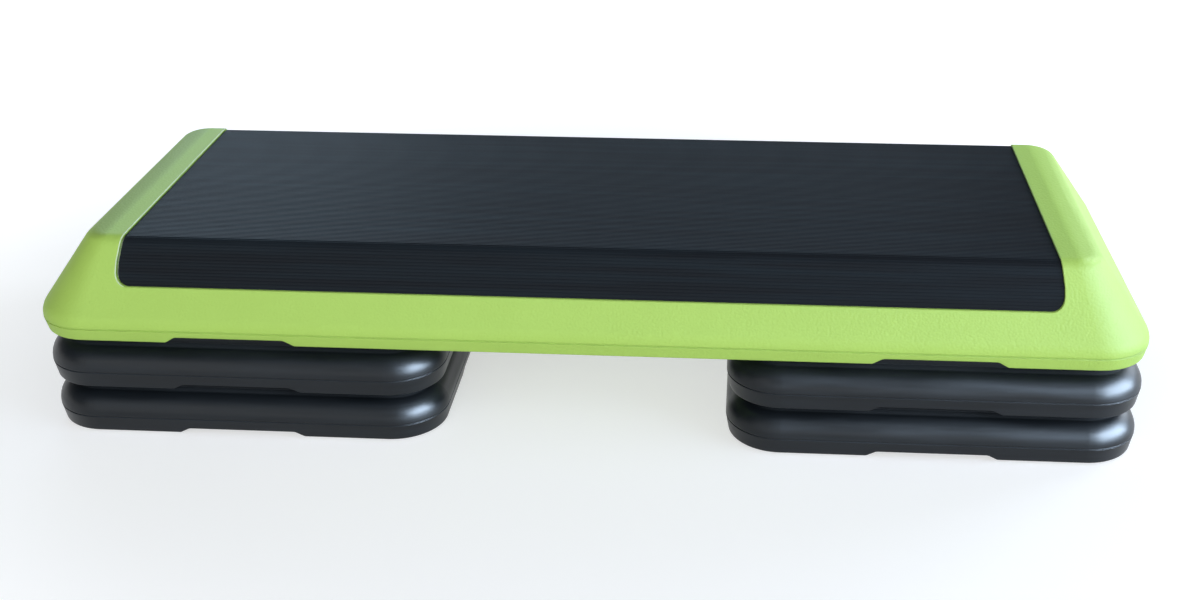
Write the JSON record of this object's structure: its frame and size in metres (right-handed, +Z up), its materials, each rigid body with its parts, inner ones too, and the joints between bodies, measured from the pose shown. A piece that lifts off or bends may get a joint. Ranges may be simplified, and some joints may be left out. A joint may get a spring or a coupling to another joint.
{
  "type": "aerobic step platform",
  "caption": "Long bevelled green step deck with a ribbed rubber tread, standing on nesting square black risers that lift off to set its height.",
  "frame": {"origin": "on the floor, under the middle of the deck", "axes": "+X along the deck, +Y across it away from the front edge, +Z up"},
  "size_m": [1.09, 0.41, 0.2],
  "materials": {
    "deck_green": "matte",
    "tread_rubber": "matte",
    "riser_black": "satin",
    "foot_rubber": "matte"
  },
  "bodies": {
    "left_lower": {"left_lower_riser": "riser_black", "left_lower_foot_front_outer": "foot_rubber", "left_lower_foot_front_inner": "foot_rubber", "left_lower_foot_back_outer": "foot_rubber", "left_lower_foot_back_inner": "foot_rubber"},
    "left_upper": {"left_upper_riser": "riser_black", "left_upper_foot_front_outer": "foot_rubber", "left_upper_foot_front_inner": "foot_rubber", "left_upper_foot_back_outer": "foot_rubber", "left_upper_foot_back_inner": "foot_rubber"},
    "deck": {"deck_shell": "deck_green", "tread_mat": "tread_rubber", "left_deck_foot_front_outer": "foot_rubber", "left_deck_foot_front_inner": "foot_rubber", "left_deck_foot_back_outer": "foot_rubber", "left_deck_foot_back_inner": "foot_rubber", "right_deck_foot_front_outer": "foot_rubber", "right_deck_foot_front_inner": "foot_rubber", "right_deck_foot_back_outer": "foot_rubber", "right_deck_foot_back_inner": "foot_rubber"},
    "right_upper": {"right_upper_riser": "riser_black", "right_upper_foot_front_outer": "foot_rubber", "right_upper_foot_front_inner": "foot_rubber", "right_upper_foot_back_outer": "foot_rubber", "right_upper_foot_back_inner": "foot_rubber"},
    "right_lower": {"right_lower_riser": "riser_black", "right_lower_foot_front_outer": "foot_rubber", "right_lower_foot_front_inner": "foot_rubber", "right_lower_foot_back_outer": "foot_rubber", "right_lower_foot_back_inner": "foot_rubber"}
  },
  "joints": [
    {"name": "upper_risers_lift", "type": "slide", "parent": "left_lower", "child": "left_upper", "axis": [0, 0, 1], "range_m": [0, 0.06]},
    {"name": "deck_lift", "type": "slide", "parent": "left_upper", "child": "deck", "axis": [0, 0, 1], "range_m": [0, 0.06]},
    {"name": "right_upper_riser_stays", "type": "slide", "parent": "deck", "child": "right_upper", "axis": [0, 0, -1], "range_m": [0, 0.06]},
    {"name": "right_lower_riser_stays", "type": "slide", "parent": "right_upper", "child": "right_lower", "axis": [0, 0, -1], "range_m": [0, 0.06]}
  ],
  "couplings": [
    {"joint": "right_upper_riser_stays", "follows": "deck_lift", "ratio": 1},
    {"joint": "right_lower_riser_stays", "follows": "upper_risers_lift", "ratio": 1}
  ]
}
